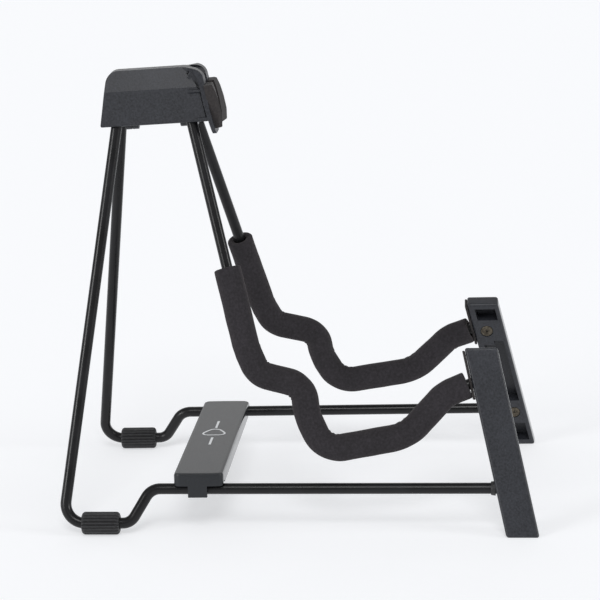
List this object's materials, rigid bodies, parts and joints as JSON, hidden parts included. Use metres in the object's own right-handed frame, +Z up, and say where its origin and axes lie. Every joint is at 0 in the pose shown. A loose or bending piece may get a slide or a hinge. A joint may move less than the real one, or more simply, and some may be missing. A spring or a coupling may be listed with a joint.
{
  "type": "guitar stand",
  "caption": "Fold-flat A-frame guitar stand: two bent-rod side frames with padded cradle arms, hinged at a moulded head and braced by a crossbar.",
  "frame": {"origin": "centre of the bounding box's footprint, on the floor", "axes": "+X to the stand's right-hand side frame, -Y to the front where the posts are, +Z up"},
  "size_m": [0.2254, 0.345, 0.3244],
  "materials": {
    "coated_steel": "satin black powder coat on steel rod",
    "foam": "matte closed-cell foam sleeve",
    "rubber": "matte moulded rubber",
    "pad_rubber": "matte soft rubber pad",
    "moulding": "fine-textured charcoal moulded plastic",
    "zinc_screw": "dark zinc-plated countersunk screw",
    "pin_steel": "plain steel"
  },
  "bodies": {
    "left_frame": {"side_rod_left": "coated_steel", "arm_foam_left": "foam", "rear_foot_left": "rubber", "front_post_left": "moulding", "post_pad_left": "pad_rubber", "post_screw_upper_left": "zinc_screw", "post_screw_lower_left": "zinc_screw", "head_shell_left": "moulding", "head_cover_left": "moulding", "head_pad_left": "pad_rubber", "cover_screw_upper_left": "zinc_screw", "cover_screw_lower_left": "zinc_screw", "hinge_pin": "pin_steel", "pin_clip_rear": "pin_steel", "pin_clip_front": "pin_steel"},
    "right_frame": {"side_rod_right": "coated_steel", "arm_foam_right": "foam", "rear_foot_right": "rubber", "front_post_right": "moulding", "post_pad_right": "pad_rubber", "post_screw_upper_right": "zinc_screw", "post_screw_lower_right": "zinc_screw", "head_shell_right": "moulding", "head_cover_right": "moulding", "head_pad_right": "pad_rubber", "cover_screw_upper_right": "zinc_screw", "cover_screw_lower_right": "zinc_screw"},
    "crossbar": {"crossbar": "moulding"}
  },
  "joints": [
    {"name": "fold", "type": "hinge", "parent": "left_frame", "child": "right_frame", "pos_m": [0, 0.14102, 0.28174], "axis": [0, 0.999, -0.0436], "range_deg": [0, 35]},
    {"name": "crossbar_swing", "type": "hinge", "parent": "left_frame", "child": "crossbar", "pos_m": [-0.09289, 0.07288, 0.03186], "axis": [-0.0785, -0.9969, 0], "range_deg": [0, 74]}
  ],
  "couplings": [
    {"joint": "crossbar_swing", "follows": "fold", "ratio": 2.114}
  ]
}
